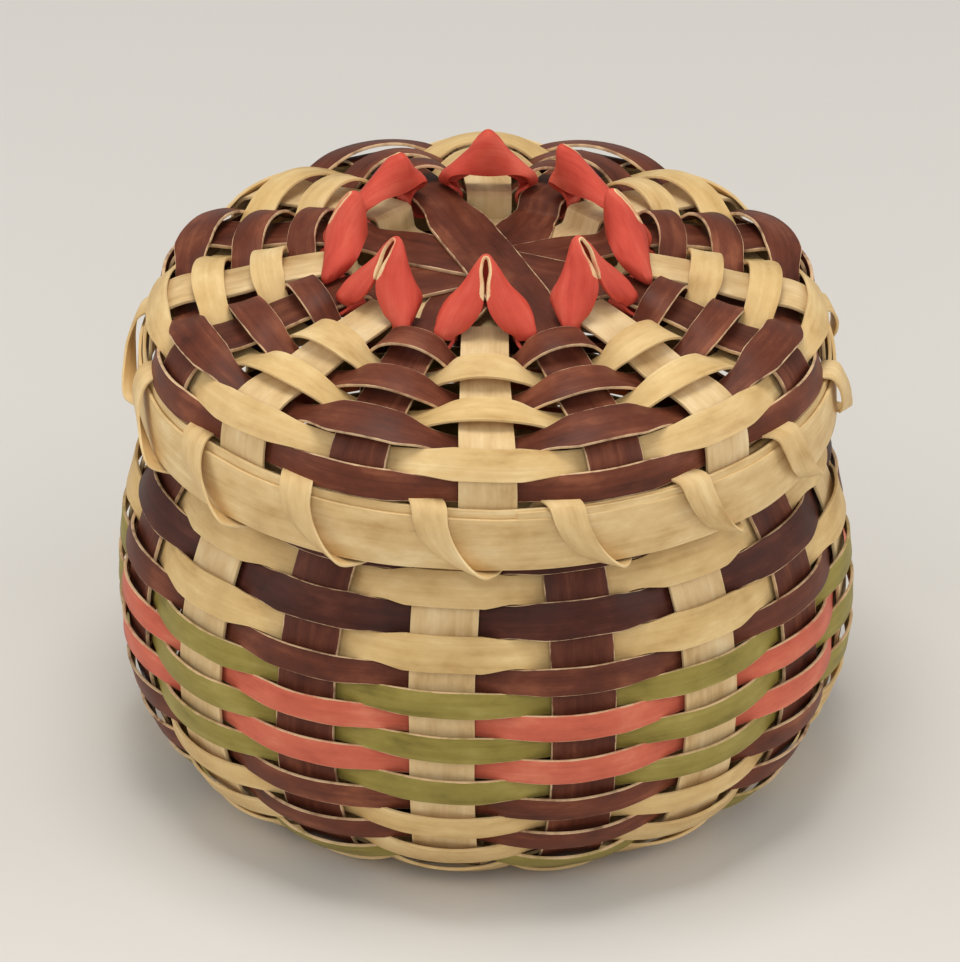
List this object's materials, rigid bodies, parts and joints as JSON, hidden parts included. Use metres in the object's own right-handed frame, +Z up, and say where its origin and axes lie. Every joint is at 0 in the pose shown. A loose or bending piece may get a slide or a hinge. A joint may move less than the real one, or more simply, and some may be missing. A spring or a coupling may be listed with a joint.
{
  "type": "lidded splint basket",
  "caption": "Small round ash-splint basket with a full shoulder and a lift-off cap lid, plain woven over upright stakes, with coloured bands and a ring of standing curls on the lid.",
  "frame": {"origin": "centre of the base, on the surface that the basket stands on", "axes": "+Z up through the middle of the lid; a natural stake of the lid faces -Y; +X to the right of it"},
  "size_m": [0.0918, 0.0918, 0.0784],
  "materials": {
    "natural_ash": "undyed ash splint, pale straw, satin, fine straight grain",
    "brown_ash": "ash splint dyed dark red-brown, satin, pale cut edges",
    "green_ash": "ash splint dyed olive green, satin, pale cut edges",
    "coral_ash": "ash splint dyed coral red, satin, pale cut edges",
    "red_ash": "ash splint dyed red, satin, pale cut edges"
  },
  "bodies": {
    "basket": {"basket_brown_stake_1": "brown_ash", "basket_brown_stake_2": "brown_ash", "basket_brown_stake_3": "brown_ash", "basket_brown_stake_4": "brown_ash", "basket_inner_hoop": "natural_ash", "basket_natural_stake_1": "natural_ash", "basket_natural_stake_2": "natural_ash", "basket_natural_stake_3": "natural_ash", "basket_natural_stake_4": "natural_ash", "basket_outer_hoop": "natural_ash", "basket_rim_lashing": "natural_ash", "basket_weaver_band_coral_1": "coral_ash", "basket_weaver_band_coral_2": "coral_ash", "basket_weaver_band_green_1": "green_ash", "basket_weaver_band_green_2": "green_ash", "basket_weaver_band_green_3": "green_ash", "basket_weaver_base_1": "natural_ash", "basket_weaver_base_2": "natural_ash", "basket_weaver_base_3": "natural_ash", "basket_weaver_base_4": "natural_ash", "basket_weaver_base_5": "natural_ash", "basket_weaver_foot_green": "green_ash", "basket_weaver_lower_brown_1": "brown_ash", "basket_weaver_lower_brown_2": "brown_ash", "basket_weaver_lower_natural_1": "natural_ash", "basket_weaver_lower_natural_2": "natural_ash", "basket_weaver_neck_brown": "brown_ash", "basket_weaver_neck_natural": "natural_ash", "basket_weaver_upper_brown_1": "brown_ash", "basket_weaver_upper_brown_2": "brown_ash", "basket_weaver_upper_natural_1": "natural_ash", "basket_weaver_upper_natural_2": "natural_ash"},
    "lid": {"lid_brown_stake_1": "brown_ash", "lid_brown_stake_2": "brown_ash", "lid_brown_stake_3": "brown_ash", "lid_brown_stake_4": "brown_ash", "lid_curl_weaver": "red_ash", "lid_inner_hoop": "natural_ash", "lid_natural_stake_1": "natural_ash", "lid_natural_stake_2": "natural_ash", "lid_natural_stake_3": "natural_ash", "lid_natural_stake_4": "natural_ash", "lid_outer_hoop": "natural_ash", "lid_rim_lashing": "natural_ash", "lid_weaver_shoulder_brown": "brown_ash", "lid_weaver_side_brown": "brown_ash", "lid_weaver_side_natural": "natural_ash", "lid_weaver_top_brown_1": "brown_ash", "lid_weaver_top_brown_2": "brown_ash", "lid_weaver_top_natural_1": "natural_ash", "lid_weaver_top_natural_2": "natural_ash"}
  },
  "joints": [
    {"name": "lid_lift", "type": "slide", "parent": "basket", "child": "lid", "axis": [0, 0, 1], "range_m": [0, 0.05]}
  ]
}
